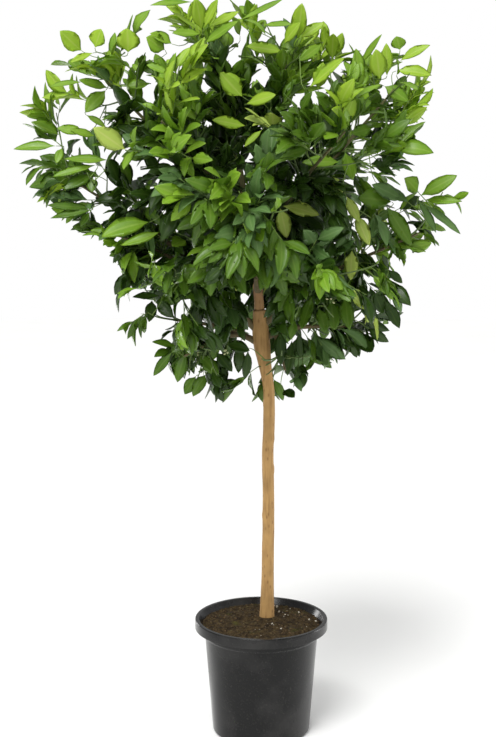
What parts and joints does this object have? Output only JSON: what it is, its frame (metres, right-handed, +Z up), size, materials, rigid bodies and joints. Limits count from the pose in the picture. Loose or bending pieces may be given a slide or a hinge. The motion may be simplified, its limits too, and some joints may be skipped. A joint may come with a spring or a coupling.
{
  "type": "potted mandarin orange tree",
  "caption": "Young mandarin orange tree grown as a standard: a slim bare trunk, a wide round head of glossy leaves on forking boughs, and a round black nursery pot filled with soil.",
  "frame": {"origin": "middle of the pot's flat underside, on the surface that the pot stands on", "axes": "+Z up along the trunk, -Y towards the viewer of the picture, +X to that viewer's right"},
  "size_m": [0.923, 0.8, 1.53],
  "materials": {
    "bark": "smooth straw-tan young bark, matt",
    "bough_bark": "darker olive-brown bark, matt",
    "leaf_green": "satin, mid green with yellow-green young leaves",
    "pot_black": "semi-gloss moulded black plastic",
    "soil_brown": "rough dark brown potting soil"
  },
  "bodies": {
    "root": {"bough_back_high_left": "bough_bark", "bough_back_high_right": "bough_bark", "bough_back_low_left": "bough_bark", "bough_back_low_right": "bough_bark", "bough_back_middle": "bough_bark", "bough_bottom_left": "bough_bark", "bough_bottom_right": "bough_bark", "bough_far_left": "bough_bark", "bough_far_right": "bough_bark", "bough_front_high_left": "bough_bark", "bough_front_high_right": "bough_bark", "bough_front_low_left": "bough_bark", "bough_front_low_right": "bough_bark", "bough_front_middle": "bough_bark", "bough_left_low": "bough_bark", "bough_lower_left": "bough_bark", "bough_lower_right": "bough_bark", "bough_top_left": "bough_bark", "bough_top_right": "bough_bark", "bough_upper_left": "bough_bark", "bough_upper_right": "bough_bark", "leaves_back_high_left": "leaf_green", "leaves_back_high_right": "leaf_green", "leaves_back_low_left": "leaf_green", "leaves_back_low_right": "leaf_green", "leaves_back_middle": "leaf_green", "leaves_bottom_left": "leaf_green", "leaves_bottom_right": "leaf_green", "leaves_far_left": "leaf_green", "leaves_far_right": "leaf_green", "leaves_front_high_left": "leaf_green", "leaves_front_high_right": "leaf_green", "leaves_front_low_left": "leaf_green", "leaves_front_low_right": "leaf_green", "leaves_front_middle": "leaf_green", "leaves_left_low": "leaf_green", "leaves_lower_left": "leaf_green", "leaves_lower_right": "leaf_green", "leaves_top_left": "leaf_green", "leaves_top_right": "leaf_green", "leaves_upper_left": "leaf_green", "leaves_upper_right": "leaf_green", "pot": "pot_black", "soil": "soil_brown", "trunk": "bark"}
  },
  "joints": []
}
